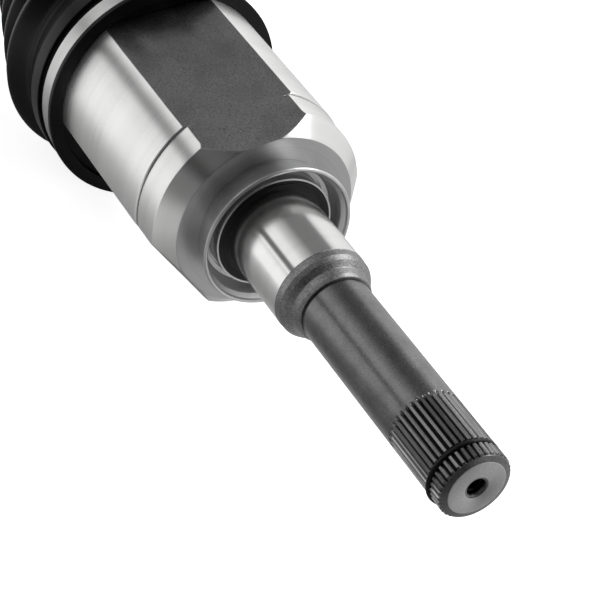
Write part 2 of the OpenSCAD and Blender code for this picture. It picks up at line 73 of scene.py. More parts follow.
# %% [markdown]
# ## The camera
#
# The photograph was taken with a long lens, from beside the stub's end and a little above.
# The numbers come from fitting a pinhole camera to the circles of the turned parts. The three
# columns of the turn say where the camera's right, up and back point in the shaft's frame.

# %% Camera
camera_data = bpy.data.cameras.new("camera")
focal_pixels, photo_width, sensor_mm = 2141.6, 600.0, 36.0
camera_data.sensor_width = sensor_mm
camera_data.lens = sensor_mm * focal_pixels / photo_width
camera_data.clip_start = 0.05
camera_data.clip_end = 60.0
camera = bpy.data.objects.new("camera", camera_data)
bpy.context.scene.collection.objects.link(camera)
camera_right = Vector((-0.459637, -0.774045, 0.435417))
camera_up = Vector((0.592243, 0.098197, 0.799753))
camera_back = Vector((-0.661802, 0.625469, 0.413288))
turn = Matrix((camera_right, camera_up, camera_back)).transposed()
camera.matrix_world = Matrix.Translation((-0.531504, 0.493573, 0.316439)) @ turn.to_4x4()
bpy.context.scene.camera = camera
bpy.context.scene.view_settings.view_transform = "Standard"
print("lens, mm:", round(camera_data.lens, 1))

# %% [markdown]
# ## Colours and nodes
#
# Colours are written as sRGB hex values, as a paint chart gives them, and turned to the linear
# light that Blender works in. One small function adds a node with its settings and links, so a
# material reads as a short list.


# %% Helpers for materials
def linear(hex_colour):
    parts = [int(hex_colour[i:i + 2], 16) / 255.0 for i in (1, 3, 5)]
    light = [p / 12.92 if p <= 0.04045 else ((p + 0.055) / 1.055) ** 2.4 for p in parts]
    return (*light, 1.0)


def add(tree, kind, inputs=None, **settings):
    """Adds a node. An input is a value, or another node's output."""
    node = tree.nodes.new(kind)
    for name, value in settings.items():
        setattr(node, name, value)
    for socket, value in (inputs or {}).items():
        if isinstance(value, bpy.types.NodeSocket):
            tree.links.new(value, node.inputs[socket])
        else:
            node.inputs[socket].default_value = value
    return node


def new_material(name):
    """A material with an empty tree, and a point's position on its piece."""
    material = bpy.data.materials.new(name)
    material.use_nodes = True
    tree = material.node_tree
    tree.nodes.clear()
    return material, tree, add(tree, "ShaderNodeTexCoord").outputs["Object"]


def finish(tree, colour, rough, bump, more):
    """The surface shader. bump is a height, its strength and its distance in metres."""
    bump = add(tree, "ShaderNodeBump", dict(zip(("Height", "Strength", "Distance"), bump)))
    shader = add(tree, "ShaderNodeBsdfPrincipled", {
        "Base Color": colour, "Roughness": rough, "Normal": bump.outputs[0], **more})
    add(tree, "ShaderNodeOutputMaterial", {"Surface": shader.outputs[0]})


def metal(tree, colour, rough, bump, spread=0.0):
    """Bare metal. spread says how far the grooves that run round it stretch a highlight."""
    more = {"Metallic": 1.0}
    if spread:
        tangent = add(tree, "ShaderNodeTangent", direction_type="RADIAL", axis="X").outputs[0]
        more.update({"Anisotropic": spread, "Anisotropic Rotation": 0.25, "Tangent": tangent})
    finish(tree, colour, rough, bump, more)


def maths(tree, operation, *values):
    return add(tree, "ShaderNodeMath", dict(enumerate(values)), operation=operation).outputs[0]


def times(tree, first, *others):
    """Several numbers multiplied together."""
    for other in others:
        first = maths(tree, "MULTIPLY", first, other)
    return first


def along_and_radius(tree, place):
    """A point's X, and its distance from the shaft's axis."""
    split = add(tree, "ShaderNodeSeparateXYZ", {0: place}).outputs
    across = add(tree, "ShaderNodeCombineXYZ", {"Y": split["Y"], "Z": split["Z"]}).outputs[0]
    radius = add(tree, "ShaderNodeVectorMath", {0: across}, operation="LENGTH").outputs["Value"]
    return split["X"], radius


def grain(tree, place, scale, detail=3.0, roughness=0.55):
    """Noise in grains per metre: one number, or three for a grain that is stretched."""
    if isinstance(scale, tuple):
        place = add(tree, "ShaderNodeMapping", {"Vector": place, "Scale": scale}).outputs[0]
        scale = 1.0
    return add(tree, "ShaderNodeTexNoise", {"Vector": place, "Scale": scale, "Detail": detail,
               "Roughness": roughness}).outputs["Fac"]


def remap(tree, value, low, high, to_low, to_high, **settings):
    return add(tree, "ShaderNodeMapRange", {"Value": value, "From Min": low, "From Max": high,
               "To Min": to_low, "To Max": to_high}, **settings).outputs["Result"]


def blend(tree, share, first, second):
    """Mixes two colours. A colour is a hex value or another node's output."""
    first = linear(first) if isinstance(first, str) else first
    second = linear(second) if isinstance(second, str) else second
    mixed = add(tree, "ShaderNodeMix", {0: share, 6: first, 7: second}, data_type="RGBA")
    return mixed.outputs[2]


def tint(tree, value, low, high, share, first, second):
    """Mixes in up to a share of the second colour where a grain is above a level."""
    return blend(tree, remap(tree, value, low, high, 0.0, share), first, second)


def between(tree, value, low, high):
    """1 where the value lies between two numbers, in mm, and 0 elsewhere."""
    return times(tree, maths(tree, "GREATER_THAN", value, low * MM),
                 maths(tree, "LESS_THAN", value, high * MM))


# %% [markdown]
# ## Light
#
# Steel shows what stands round it, so the light is most of its look. The floor is a white sheet
# that fills the view. A soft box stands along each side of the shaft, and the ceiling between them
# is dark: each box draws a bright band along the turned body. The gap between the floor and the
# nearer box draws the thin grey band. The dark room round the camera draws the cone's dark band,
# helped by painted shade on the sheet towards the camera; the sheet also has a painted glow in
# front of the shaft. Only reflections see this painted shade and glow.

# %% Floor
floor_z = cad_box[0].z - 0.0003
floor_mesh = bpy.data.meshes.new("floor")
floor_mesh.from_pydata([(-9, -9, floor_z), (9, -9, floor_z), (9, 9, floor_z), (-9, 9, floor_z)], [],
                       [(0, 1, 2, 3)])
floor = bpy.data.objects.new("floor", floor_mesh)
bpy.context.scene.collection.objects.link(floor)
paper, tree, spot = new_material("white_paper_sweep")
rays = add(tree, "ShaderNodeLightPath").outputs
mirrored = maths(tree, "MAXIMUM", rays["Is Glossy Ray"], rays["Is Transmission Ray"])
# Painted shade and painted light on the sheet, seen only in reflections: its colour is darkened towards the
# camera, and it glows brightest in front of the shaft
nearness = add(tree, "ShaderNodeVectorMath", {0: spot, 1: (-0.727, 0.687, 0.0)}, operation="DOT_PRODUCT")
painted_shade_towards_camera = remap(tree, nearness.outputs["Value"], 0.0, 0.18, 0.0, 0.88, interpolation_type="SMOOTHSTEP")
sheet = add(tree, "ShaderNodeBsdfDiffuse", {
    "Color": blend(tree, times(tree, painted_shade_towards_camera, mirrored), "#f0f0f0", "#000000")})
spot = add(tree, "ShaderNodeSeparateXYZ", {0: spot}).outputs
# Painted light that only reflections see: the sheet glows in front of the shaft, less near it
painted_glow_in_front = maths(tree, "ADD", remap(tree, spot["Y"], 0.015, 0.080, 0.06, 0.30),
                 remap(tree, spot["Y"], 0.083, 0.098, 0.0, 0.25))
painted_glow_in_front = times(tree, painted_glow_in_front, remap(tree, spot["X"], 0.0, 0.04, 0.2, 1.0), mirrored)
glow = maths(tree, "ADD", times(tree, rays["Is Camera Ray"], 0.85), painted_glow_in_front)
glow = add(tree, "ShaderNodeEmission", {"Color": (1, 1, 1, 1), "Strength": glow})
both = add(tree, "ShaderNodeAddShader", {0: sheet.outputs[0], 1: glow.outputs[0]})
add(tree, "ShaderNodeOutputMaterial", {"Surface": both.outputs[0]})
floor_mesh.materials.append(paper)

# %% Sky
world = bpy.data.worlds.new("studio")
bpy.context.scene.world = world
world.use_nodes = True
tree = world.node_tree
tree.nodes.clear()
direction = add(tree, "ShaderNodeTexCoord").outputs["Generated"]
split = add(tree, "ShaderNodeSeparateXYZ", {0: direction}).outputs
# 0 at the horizon on the camera's side of the shaft, over the top, to 1 at the horizon behind it
turn_over = maths(tree, "DIVIDE", maths(tree, "ARCTAN2", split["Z"], split["Y"]), math.pi)
ramp = add(tree, "ShaderNodeValToRGB", {"Fac": turn_over})
stops = ramp.color_ramp.elements
stops[0].position, stops[0].color = 0.0, (1.0, 1.0, 1.0, 1)
stops[1].position, stops[1].color = 1.0, (0.80, 0.80, 0.80, 1)
for place, level in ((0.025, 0.95), (0.045, 0.15), (0.09, 0.15), (0.115, 0.95), (0.20, 0.92), (0.27, 0.60),
                     (0.335, 0.38), (0.39, 0.20), (0.62, 0.20), (0.66, 0.75), (0.72, 0.9), (0.83, 0.9),
                     (0.94, 0.85)):
    stops.new(place).color = (level, level, level, 1)
# The room is dark round the camera
room = add(tree, "ShaderNodeVectorMath", {0: direction, 1: (-0.83, 0.47, 0.30)}, operation="DOT_PRODUCT")
shade = remap(tree, room.outputs["Value"], 0.50, 0.82, 1.0, 0.08, interpolation_type="SMOOTHSTEP")
# The camera sees plain white past the sheet's end
seen = add(tree, "ShaderNodeLightPath").outputs["Is Camera Ray"]
background = add(tree, "ShaderNodeBackground", {"Color": blend(tree, seen, ramp.outputs["Color"], "#ffffff"),
                 "Strength": maths(tree, "MAXIMUM", shade, seen)})
add(tree, "ShaderNodeOutputWorld", {"Surface": background.outputs[0]})
# %% Lamp
lamp_data = bpy.data.lights.new("lamp_over", "AREA")
lamp_data.shape = "RECTANGLE"
lamp_data.size, lamp_data.size_y, lamp_data.energy = 0.9, 0.7, 8.0
lamp = bpy.data.objects.new("lamp_over", lamp_data)
lamp.location = (0.05, -0.63, 1.35)
lamp.rotation_euler = (-lamp.location).to_track_quat("-Z", "Y").to_euler()
bpy.context.scene.collection.objects.link(lamp)
print("floor at z, mm:", round(floor_z / MM, 2))

# %% [markdown]
# ## Turned and swept shapes
#
# Almost every piece here was made on a lathe or pressed round. Such a piece is one outline turned
# about the X axis. Real edges are never perfectly sharp, and the small radius on each is what
# catches the light, so the outline gets its corners rounded before it is turned. Wire and strip
# are a section that is swept along a path.


# %% Helpers for shapes
def rounded(outline, steps=5):
    """Outline in mm as (x, r) or (x, r, fillet). Returns (x, r) points with round corners."""
    points = []
    for i, corner in enumerate(outline):
        here = Vector(corner[:2])
        fillet = corner[2] if len(corner) > 2 else 0.0
        if fillet == 0.0 or i in (0, len(outline) - 1):
            points.append(tuple(here))
            continue
        before = Vector(outline[i - 1][:2]) - here
        after = Vector(outline[i + 1][:2]) - here
        half = before.angle(after) / 2.0
        reach = min(fillet / math.tan(half), 0.48 * before.length, 0.48 * after.length)
        start, end = here + before.normalized() * reach, here + after.normalized() * reach
        for k in range(steps + 1):
            t = k / steps
            points.append(tuple((1 - t) ** 2 * start + 2 * t * (1 - t) * here + t * t * end))
    return points


def divided(points, spacing, first_x, last_x):
    """The same outline with more points where its runs between two places are long."""
    result = [points[0]]
    for (xa, ra), (xb, rb) in zip(points, points[1:]):
        inside = min(xa, xb) >= first_x and max(xa, xb) <= last_x
        parts = max(1, math.ceil(math.hypot(xb - xa, rb - ra) / spacing)) if inside else 1
        result += [(xa + (xb - xa) * k / parts, ra + (rb - ra) * k / parts) for k in range(1, parts + 1)]
    return result


def outward(mesh):
    """Turns the faces of a closed mesh so that they face out."""
    shell = bmesh.new()
    shell.from_mesh(mesh)
    if shell.calc_volume(signed=True) < 0:
        bmesh.ops.reverse_faces(shell, faces=shell.faces)
        shell.to_mesh(mesh)
    shell.free()


def smooth(mesh, sharp):
    mesh.polygons.foreach_set("use_smooth", [True] * len(mesh.polygons))
    mesh.set_sharp_from_angle(angle=math.radians(sharp))


def make_piece(name, vertices, faces, material, sharp=32.0):
    """A mesh object at the origin. vertices are in mm."""
    mesh = bpy.data.meshes.new(name)
    mesh.from_pydata([tuple(c * MM for c in v) for v in vertices], [], faces)
    mesh.validate()
    outward(mesh)
    smooth(mesh, sharp)
    mesh.materials.append(material)
    piece = bpy.data.objects.new(name, mesh)
    bpy.context.scene.collection.objects.link(piece)
    print(f"{name}: {len(mesh.polygons)} faces")
    return piece


def rings_to_mesh(rings, closed_loop):
    """Quads between rings of (x, y, z) with equal counts. A ring of one point is a pole."""
    vertices, first, faces = [], [], []
    for ring in rings:
        first.append(len(vertices))
        vertices.extend(ring)
    pairs = list(zip(range(len(rings) - 1), range(1, len(rings))))
    if closed_loop:
        pairs.append((len(rings) - 1, 0))
    for a, b in pairs:
        count = max(len(rings[a]), len(rings[b]))
        for i in range(count):
            j = (i + 1) % count
            if len(rings[a]) == 1:
                faces.append((first[a], first[b] + j, first[b] + i))
            elif len(rings[b]) == 1:
                faces.append((first[a] + i, first[a] + j, first[b]))
            else:
                faces.append((first[a] + i, first[a] + j, first[b] + j, first[b] + i))
    return vertices, faces


def turned(name, outline, material, sides=192, steps=5, sharp=32.0):
    """Turns an outline about X. Where it starts and ends off the axis, it closes on itself."""
    points = rounded(outline, steps)
    closed_loop = points[0][1] > 0
    rings = []
    for x, r in points:
        if r <= 0:
            rings.append([(x, 0.0, 0.0)])
            continue
        rings.append([(x, r * math.cos(2 * math.pi * k / sides), r * math.sin(2 * math.pi * k / sides))
                      for k in range(sides)])
    return make_piece(name, *rings_to_mesh(rings, closed_loop), material, sharp)


def swept_rings(path, section, x, closed):
    """Rings of a section of (along X, outwards) points, set along a path of (y, z) points."""
    rings = []
    count = len(path)
    for i, (y, z) in enumerate(path):
        before = path[(i - 1) % count] if closed or i > 0 else path[i]
        after = path[(i + 1) % count] if closed or i < count - 1 else path[i]
        way = Vector((after[0] - before[0], after[1] - before[1])).normalized()
        out = (way.y, -way.x)
        rings.append([(x + dx, y + dn * out[0], z + dn * out[1]) for dx, dn in section])
    if not closed:
        middles = [tuple(sum(c) / len(ring) for c in zip(*ring)) for ring in (rings[0], rings[-1])]
        rings = [[middles[0]]] + rings + [[middles[1]]]
    return rings


def join_shells(shells):
    """One list of vertices and faces from several."""
    vertices, faces = [], []
    for more_vertices, more_faces in shells:
        start = len(vertices)
        vertices += more_vertices
        faces += [tuple(start + i for i in face) for face in more_faces]
    return vertices, faces


def place_piece(piece, body, slot, *nodes):
    """The body that carries a piece, and the solids it stands for, which are hidden. slot, a finish's name,
    is not used.
    """
    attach(piece, body)
    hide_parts(*nodes)


# %% [markdown]
# ## Sizes from the CAD
#
# These repeat the CAD source's values, in mm along the axis from the middle of the seal land.

# %% Sizes
x_tip, x_spline_end, x_collar, x_land = -127.2, -93.8, -28.6, -17.0
x_nose, x_band, x_step, x_mouth = 28.6, 35.8, 49.4, 140.8
x_ball, x_bell = 478.8, 456.8
stub_r, root_r, stub_teeth = 14.0, 12.95, 36
land_r, relief_r, nose_r, band_r, body_r, cover_flange_r = 19.1, 18.8, 36.9, 43.6, 44.4, 24.5
flat_h, flat_drop, flat_slope_len = 38.2, 2.0, 9.2
flat_angles, arm_angles = (60.0, 180.0, 300.0), (0.0, 120.0, 240.0)
lip_r, clamp_seat_r, large_band, small_band = 49.9, 48.2, 7.6, 6.4
x_lip = x_mouth - 20.7
x_clamp = x_lip + 2.4
x_shoulder = x_clamp + large_band + 3.0
x_neck = x_shoulder + 7.0
x_folds = x_neck + 10.0
x_small = x_folds + 5 * 17.5 + 6.0
small_r, bell_r, bell_boot_r = 14.9, 43.5, 46.2
inner_wall, inner_valley_r, outer_wall, outer_valley_r = 2.4, 18.12, 1.8, 15.7
thread_r, wheel_root_r, wheel_teeth = 12.0, 12.7, 28
x_out_big, x_out_folds = x_bell + 15.0, x_bell - 3.0
x_out_small = x_bell - 6.0 - 5 * 13.0
ear_turn = 215.0
print("housing from", x_nose, "to", x_mouth, "mm")

# %% [markdown]
# ## Steel
#
# The housing is forged medium-carbon steel. Where the lathe cut it, fine grooves run round it, and
# light spreads across them, along the shaft. The seal land is ground finer, almost to a mirror. The
# three flats and the collar keep the forging's skin, which shot blasting leaves grey, grainy and
# even in all directions. The stub is induction hardened, which leaves it dark.


# %% Turned steel
def turned_steel():
    material, tree, place = new_material("turned_carbon_steel")
    along, radius = along_and_radius(tree, place)
    lines = grain(tree, place, (1100.0, 5.0, 5.0), 2.0)
    wide_lines = grain(tree, place, (130.0, 3.0, 3.0), 2.0)
    colour = tint(tree, wide_lines, 0.38, 0.62, 1.0, "#efefee", "#e8e8e7")
    colour = tint(tree, lines, 0.45, 0.75, 0.10, colour, "#c8c8c8")
    # Painted shade: the nose face is coloured greyer than the rest, with fine rings from its facing
    nose_painted_shade = times(tree, between(tree, along, x_nose - 0.1, x_nose + 0.12),
                  maths(tree, "GREATER_THAN", radius, cover_flange_r * MM))
    rings = grain(tree, add(tree, "ShaderNodeCombineXYZ", {"X": radius}).outputs[0], 900.0, 2.0)
    colour = blend(tree, nose_painted_shade, colour, tint(tree, rings, 0.35, 0.65, 1.0, "#b4b4b4", "#bcbcbc"))
    ground = times(tree, maths(tree, "LESS_THAN", radius, (land_r + 0.5) * MM),
                   maths(tree, "GREATER_THAN", along, (x_land - 0.2) * MM))
    rough = maths(tree, "SUBTRACT", remap(tree, lines, 0.3, 0.7, 0.27, 0.30), times(tree, ground, 0.13))
    metal(tree, colour, rough, (lines, 0.02, 0.00008), 0.8)
    return material


# %% Forged skin
def forged_skin():
    material, tree, place = new_material("shot_blasted_forging_skin")
    along = add(tree, "ShaderNodeSeparateXYZ", {0: place}).outputs["X"]
    speckle = grain(tree, place, 1500.0)
    pits = grain(tree, place, 420.0, 4.0)
    stain = grain(tree, place, 55.0, 4.0)
    colour = tint(tree, speckle, 0.40, 0.66, 1.0, "#a2a2a2", "#c0c0c0")
    colour = tint(tree, stain, 0.42, 0.70, 0.5, colour, "#888888")
    # The collar was close to the induction coil, which leaves it darker and its grains bright
    collar = maths(tree, "LESS_THAN", along, x_land * MM)
    colour = blend(tree, collar, colour, tint(tree, speckle, 0.42, 0.72, 1.0, "#848484", "#b0b0b0"))
    colour = tint(tree, pits, 0.67, 0.76, 0.6, colour, "#404040")
    rough = maths(tree, "ADD", remap(tree, speckle, 0.3, 0.7, 0.27, 0.36), times(tree, collar, 0.12))
    metal(tree, colour, rough, (maths(tree, "ADD", speckle, pits), 0.3, 0.0001))
    return material


steel_turned, steel_skin = turned_steel(), forged_skin()

# %% [markdown]
# ## The housing
#
# The real piece is forged hot with three lobes for the rollers, then turned, so what stands out
# past a flat is cut round and the flats stay rough. It is one closed shape: each slice across the
# axis has the same number of points, placed so that points always lie on the flats' edges.


# %% Slices of the housing
def slice_angles(radius, flat, arc_points, flat_points):
    """Angles round one slice, with points on the flats' edges and close beside them."""
    edge = math.degrees(math.acos(flat / radius)) if flat < radius else 2.0
    near = [0.0, 0.12, 0.3, 0.7, 1.4]
    angles, is_flat = [], []
    for centre in flat_angles:
        start = centre - 120.0 + edge
        end = centre - edge
        arc = [start + d for d in near] + list(np.linspace(start + 2.4, end - 2.4, arc_points)) + \
              [end - d for d in reversed(near[1:])]
        if edge > 5.0:
            across = [-edge + d for d in near] + list(np.linspace(-edge + 2.4, edge - 2.4, flat_points)) + \
                     [edge - d for d in reversed(near[1:])]
        else:
            across = list(np.linspace(-edge, edge, flat_points + 9))
        angles += arc + [centre + d for d in across]
        is_flat += [0] * len(arc) + [1] * len(across)
    return angles, is_flat


def flat_at(x):
    """Distance of the plain flat from the axis: it slopes down to the nose."""
    return flat_h - flat_drop * max(0.0, min(1.0, 1 - (x - x_nose) / flat_slope_len))


# Shallow hollows that the die leaves: X, place across the flat, half length, half width and depth
hollows = ((106.0, -15.0, 14.0, 5.0, 0.8), (110.0, 7.5, 16.0, 4.5, 0.9), (72.0, -3.0, 24.0, 10.0, 0.25))


def flat_height(x, off):
    """The same with the hollows and a slight unevenness."""
    height = flat_at(x)
    side = flat_h * math.tan(math.radians(off))
    for x0, side0, spread_x, spread_side, depth in hollows:
        height -= depth * math.exp(-((x - x0) / spread_x) ** 2 - ((side - side0) / spread_side) ** 2)
    height += 0.05 * noise.noise(Vector((x * 0.11, side * 0.11, 3.0)))
    return height + 0.02 * noise.noise(Vector((x * 0.5, side * 0.5, 9.0)))


# %% The housing's outside
housing_outline = divided(rounded([
    (x_collar, 0.0), (x_collar, 14.3), (x_collar + 0.1, 14.9, 0.3), (x_collar + 1.6, 15.5, 0.5),
    (x_collar + 4.4, 16.0, 1.4), (x_collar + 6.6, 17.9, 1.0), (x_collar + 8.4, 18.9, 0.9),
    (x_land - 0.25, 18.95, 0.15), (x_land, land_r, 0.1), (x_nose - 7.0, land_r),
    (x_nose - 6.8, relief_r), (x_nose, relief_r), (x_nose, 30.0), (x_nose, nose_r, 0.35),
    (x_band, band_r, 0.4), (x_step - 0.30, band_r, 0.05), (x_step - 0.25, band_r - 0.8),
    (x_step + 0.10, band_r - 0.8), (x_step + 0.15, body_r - 0.3, 0.05), (x_step + 0.45, body_r, 0.1),
    (x_mouth - 1.0, body_r, 0.3), (x_mouth, body_r - 1.0, 0.3)]), 0.9, x_nose, x_mouth)
rings, skin = [], []
for x, r in housing_outline:
    if r <= 0:
        rings.append([(x, 0.0, 0.0)])
        skin.append(1.0)
        continue
    flat_here = flat_at(x) if x >= x_nose else 99.0
    angles, is_flat = slice_angles(r, flat_here, 44, 40)
    ring = []
    for angle, on_flat in zip(angles, is_flat):
        reach = r
        forged = 1.0 if x < x_land + 0.05 else 0.0
        if flat_here < r:
            centre = min(flat_angles, key=lambda c: abs((angle - c + 180) % 360 - 180))
            off = (angle - centre + 180) % 360 - 180
            cut = flat_height(x, off) / math.cos(math.radians(off))
            # A small radius where the turned surface meets the flat
            soft = 0.08
            reach = cut - soft * math.log(math.exp(-(r - cut) / soft) + 1.0) if r - cut > -20 * soft else r
            reach = min(reach, r)
            forged = float(on_flat)
        ring.append((x, reach * math.cos(math.radians(angle)), reach * math.sin(math.radians(angle))))
        skin.append(forged)
    rings.append(ring)

# %% [markdown]
# The cavity is a bore with three roller tracks, which are ground. It runs from the mouth to a floor.

# %% The housing's inside
bore_r, roof_r, track_half, cavity_depth = 26.5, 39.0, 16.8, 78.0
angles, _ = slice_angles(body_r, flat_h, 44, 40)
x_floor = x_mouth - cavity_depth
for x, flare in ((x_mouth, 4.0), (x_mouth - 9.0, 0.0), (x_floor + 2.0, 0.0), (x_floor, -1.0)):
    ring = []
    for angle in angles:
        off = min(abs((angle - c + 180) % 360 - 180) for c in arm_angles)
        track = min(roof_r, track_half / max(math.sin(math.radians(off)), 0.01)) if off < 90 else 0.0
        reach = max(bore_r + max(flare, 0.0), track) + min(flare, 0.0)
        ring.append((x, reach * math.cos(math.radians(angle)), reach * math.sin(math.radians(angle))))
        skin.append(0.0)
    rings.append(ring)
rings.append([(x_floor, 0.0, 0.0)])
skin.append(0.0)
housing = make_piece("housing", *rings_to_mesh(rings, False), steel_turned, 24.0)
housing.data.materials.append(steel_skin)
for face in housing.data.polygons:
    face.material_index = int(sum(skin[v] for v in face.vertices) > 2.5)
place_piece(housing, "inner_joint_housing", "turned_steel", "inner_housing")

# %% [markdown]
# ## The stub and its spline
#
# The stub is turned, then a hob cuts 36 teeth, and its round cutter leaves each groove running out
# in a slope. A Geometry Nodes tree does the same: it reads each point's angle, works out how far it
# is from the middle of the nearest groove, and pulls it in. Its inputs are the teeth and their sizes.
# The same tree later cuts the wheel end's spline.


# %% A tree that cuts spline grooves
def tree_with_inputs(name, inputs):
    """A Geometry Nodes tree that takes a mesh and these named inputs, and gives a mesh."""
    tree = bpy.data.node_groups.new(name, "GeometryNodeTree")
    tree.interface.new_socket("Geometry", in_out="INPUT", socket_type="NodeSocketGeometry")
    for socket, kind in inputs:
        tree.interface.new_socket(socket, in_out="INPUT", socket_type="NodeSocket" + kind)
    tree.interface.new_socket("Geometry", in_out="OUTPUT", socket_type="NodeSocketGeometry")
    return tree, add(tree, "NodeGroupInput").outputs


def tree_output(tree, geometry, material):
    """The end that every tree has: real geometry with one material."""
    real = add(tree, "GeometryNodeRealizeInstances", {"Geometry": geometry})
    painted = add(tree, "GeometryNodeSetMaterial", {"Geometry": real.outputs[0], "Material": material})
    add(tree, "NodeGroupOutput", {"Geometry": painted.outputs[0]})


def polar(tree):
    """X, angle about X and distance from X of each point."""
    split = add(tree, "ShaderNodeSeparateXYZ", {0: add(tree, "GeometryNodeInputPosition").outputs[0]})
    angle = maths(tree, "ARCTAN2", split.outputs["Z"], split.outputs["Y"])
    radius = maths(tree, "SQRT", maths(tree, "ADD", maths(tree, "POWER", split.outputs["Y"], 2.0),
                                       maths(tree, "POWER", split.outputs["Z"], 2.0)))
    return split.outputs["X"], angle, radius


def from_polar(tree, x, angle, radius):
    y, z = (times(tree, radius, maths(tree, operation, angle)) for operation in ("COSINE", "SINE"))
    return add(tree, "ShaderNodeCombineXYZ", {"X": x, "Y": y, "Z": z}).outputs[0]


def spline_tree():
    tree, given = tree_with_inputs("spline_grooves", [
        ("Teeth", "Int"), ("Root radius", "Float"), ("Start", "Float"), ("Run-out start", "Float"),
        ("Run-out end", "Float"), ("Material", "Material")])
    x, angle, radius = polar(tree)
    per_tooth = maths(tree, "DIVIDE", given["Teeth"], 2 * math.pi)
    step = maths(tree, "FRACT", times(tree, angle, per_tooth))
    from_groove = times(tree, maths(tree, "ABSOLUTE", maths(tree, "SUBTRACT", step, 0.5)), 2.0)
    groove = remap(tree, from_groove, 0.18, 0.60, 1.0, 0.0)
    run_out = times(tree, remap(tree, x, given["Run-out start"], given["Run-out end"], 1.0, 0.0),
                    maths(tree, "GREATER_THAN", x, given["Start"]))
    depth = maths(tree, "MAXIMUM", maths(tree, "SUBTRACT", radius, given["Root radius"]), 0.0)
    pull = times(tree, groove, run_out, depth)
    moved = add(tree, "GeometryNodeSetPosition", {"Geometry": given["Geometry"],
                "Position": from_polar(tree, x, angle, maths(tree, "SUBTRACT", radius, pull))})
    tree_output(tree, moved.outputs[0], given["Material"])
    return tree


def grow(piece, tree, values, sharp=32.0):
    """Runs a Geometry Nodes tree on a piece and keeps the result as its plain mesh."""
    modifier = piece.modifiers.new("grow", "NODES")
    modifier.node_group = tree
    named = {item.name: item.identifier for item in tree.interface.items_tree if item.in_out == "INPUT"}
    for name, value in values.items():
        modifier[named[name]] = value
    shown = piece.evaluated_get(bpy.context.evaluated_depsgraph_get())
    mesh = bpy.data.meshes.new_from_object(shown)
    piece.modifiers.clear()
    old = piece.data
    piece.data = mesh
    bpy.data.meshes.remove(old)
    mesh.name = piece.name
    smooth(mesh, sharp)
    print(f"{piece.name}: {len(mesh.polygons)} faces after {tree.name}")


spline_grooves = spline_tree()


# %% Hardened steel
def hardened_steel():
    """Induction hardened shaft: grey temper colour, fine grain, teeth with a painted highlight on their edges
    and oil with painted shade in their roots.
    """
    material, tree, place = new_material("induction_hardened_steel")
    along, radius = along_and_radius(tree, place)
    fine = grain(tree, place, 1700.0, 3.0, 0.65)
    blotch = grain(tree, place, 130.0, 4.0, 0.6)
    scratch = grain(tree, place, (60.0, 2200.0, 2200.0), 2.0)
    colour = tint(tree, fine, 0.38, 0.68, 1.0, "#787878", "#909090")
    colour = tint(tree, blotch, 0.40, 0.70, 0.6, colour, "#6c6c6c")
    colour = tint(tree, fine, 0.70, 0.78, 0.8, colour, "#d0d0d0")
    # Teeth: a painted highlight along their edges, broken into streaks; in the roots, black oil with painted
    # shade
    edge = times(tree, remap(tree, radius, (stub_r - 0.55) * MM, (stub_r - 0.30) * MM, 0.0, 1.0),
                 remap(tree, radius, (stub_r - 0.15) * MM, (stub_r - 0.02) * MM, 1.0, 0.15))
    # Painted highlight along the teeth's edges, streaked by the scratch grain
    lighter = times(tree, edge, remap(tree, scratch, 0.30, 0.60, 0.3, 1.0),
                 between(tree, along, x_tip + 1.7, x_spline_end - 0.5))
    colour = blend(tree, lighter, colour, "#cccccc")
    # Black oil in the roots, with painted shade where the groove is deep
    root_oil_and_shade = times(tree, remap(tree, radius, (root_r + 0.03) * MM, (root_r + 0.30) * MM, 1.0, 0.0),
                 between(tree, along, x_tip + 1.2, x_spline_end + 1.0))
    colour = blend(tree, root_oil_and_shade, colour, "#1a1a1a")
    # The end face is bare, and its chamfer is dark again
    end = maths(tree, "LESS_THAN", along, (x_tip + 0.08) * MM)
    colour = blend(tree, end, colour, tint(tree, fine, 0.36, 0.70, 1.0, "#d0d0d0", "#e6e6e6"))
    rough = maths(tree, "ADD", remap(tree, fine, 0.3, 0.7, 0.26, 0.34), times(tree, end, 0.15))
    metal(tree, colour, rough, (fine, 0.3, 0.00006), 0.5)
    return material


steel_hardened = hardened_steel()

# %% The stub
tooth_rows = [(x, stub_r, 0.0) for x in np.arange(x_tip + 10.6, x_spline_end + 1.8, 0.4)]
stub = turned("stub", [
    (x_tip + 9.0, 0.0), (x_tip + 7.6, 2.4), (x_tip + 2.6, 2.4), (x_tip + 2.2, 3.1, 0.2),
    (x_tip + 0.4, 3.7), (x_tip, 4.7), (x_tip, 10.9, 0.1), (x_tip + 0.75, 13.35, 0.1),
    (x_tip + 0.95, 13.45), (x_tip + 1.2, 13.6), (x_tip + 1.6, stub_r), (x_tip + 4.0, stub_r),
    (x_tip + 6.9, stub_r), (x_tip + 7.0, stub_r - 0.1), (x_tip + 7.05, 12.25), (x_tip + 9.5, 12.25),
    (x_tip + 9.55, stub_r - 0.1), (x_tip + 9.7, stub_r), *tooth_rows, (x_spline_end + 2.2, stub_r),
    (x_collar - 0.65, stub_r), (x_collar - 0.6, 13.6, 0.1), (x_collar + 0.5, 13.6),
    (x_collar + 2.0, 0.0)], steel_hardened, sides=stub_teeth * 16, sharp=28.0)
grow(stub, spline_grooves, {
    "Teeth": stub_teeth, "Root radius": root_r * MM, "Start": (x_tip + 1.0) * MM,
    "Run-out start": (x_spline_end - 0.5) * MM, "Run-out end": (x_spline_end + 1.1) * MM,
    "Material": steel_hardened}, 28.0)
place_piece(stub, "inner_joint_housing", "turned_steel", "inner_housing")


# %% [markdown]
# The circlip is phosphated spring wire. It springs out of its groove on one side, as in the
# photograph, because nothing holds it in the middle while the shaft is out of its gearbox.

